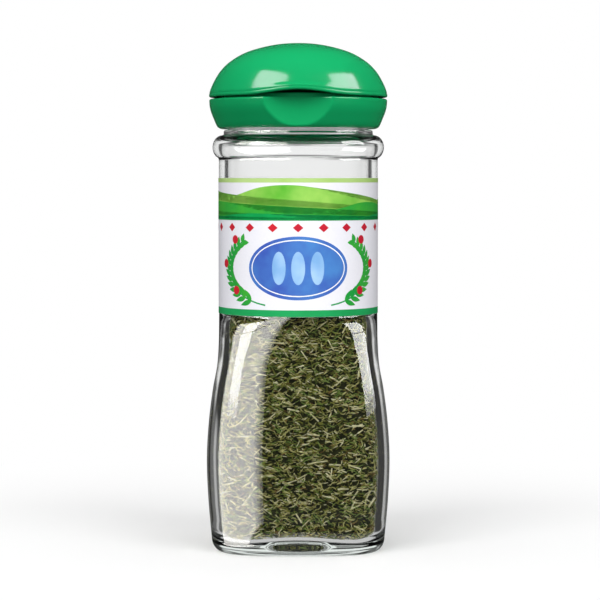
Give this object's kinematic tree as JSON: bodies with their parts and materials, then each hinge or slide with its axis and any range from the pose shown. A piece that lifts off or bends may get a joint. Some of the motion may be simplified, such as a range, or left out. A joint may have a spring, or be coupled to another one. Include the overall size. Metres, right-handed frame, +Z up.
{
  "type": "glass spice jar of dried dill",
  "caption": "Clear glass spice jar with a rounded square foot, a wrapped label, dried dill inside and a press-fit cap whose domed lid flips up.",
  "frame": {"origin": "centre of the jar's base, on the surface it stands on", "axes": "+Z up along the jar's axis, -Y to the front where the cap's thumb scoop is, +Y to the lid's hinge, +X to the jar's side"},
  "size_m": [0.0406, 0.0406, 0.112],
  "materials": {
    "clear_glass": "clear pressed soda-lime glass, faintly green in its thick parts",
    "label_paper": null,
    "dried_dill": "dry cut leaf, matt, olive to dark green with straw-coloured pieces",
    "cap_plastic": "glossy moulded green polypropylene"
  },
  "bodies": {
    "jar": {"glass_jar": "clear_glass", "label": "label_paper", "dill_fill": "dried_dill", "cap_base": "cap_plastic", "living_hinge": "cap_plastic"},
    "lid": {"flip_lid": "cap_plastic"}
  },
  "joints": [
    {"name": "lid_hinge", "type": "hinge", "parent": "jar", "child": "lid", "pos_m": [0, 0.0191, 0.0998], "axis": [-1, 0, 0], "range_deg": [0, 125]}
  ]
}
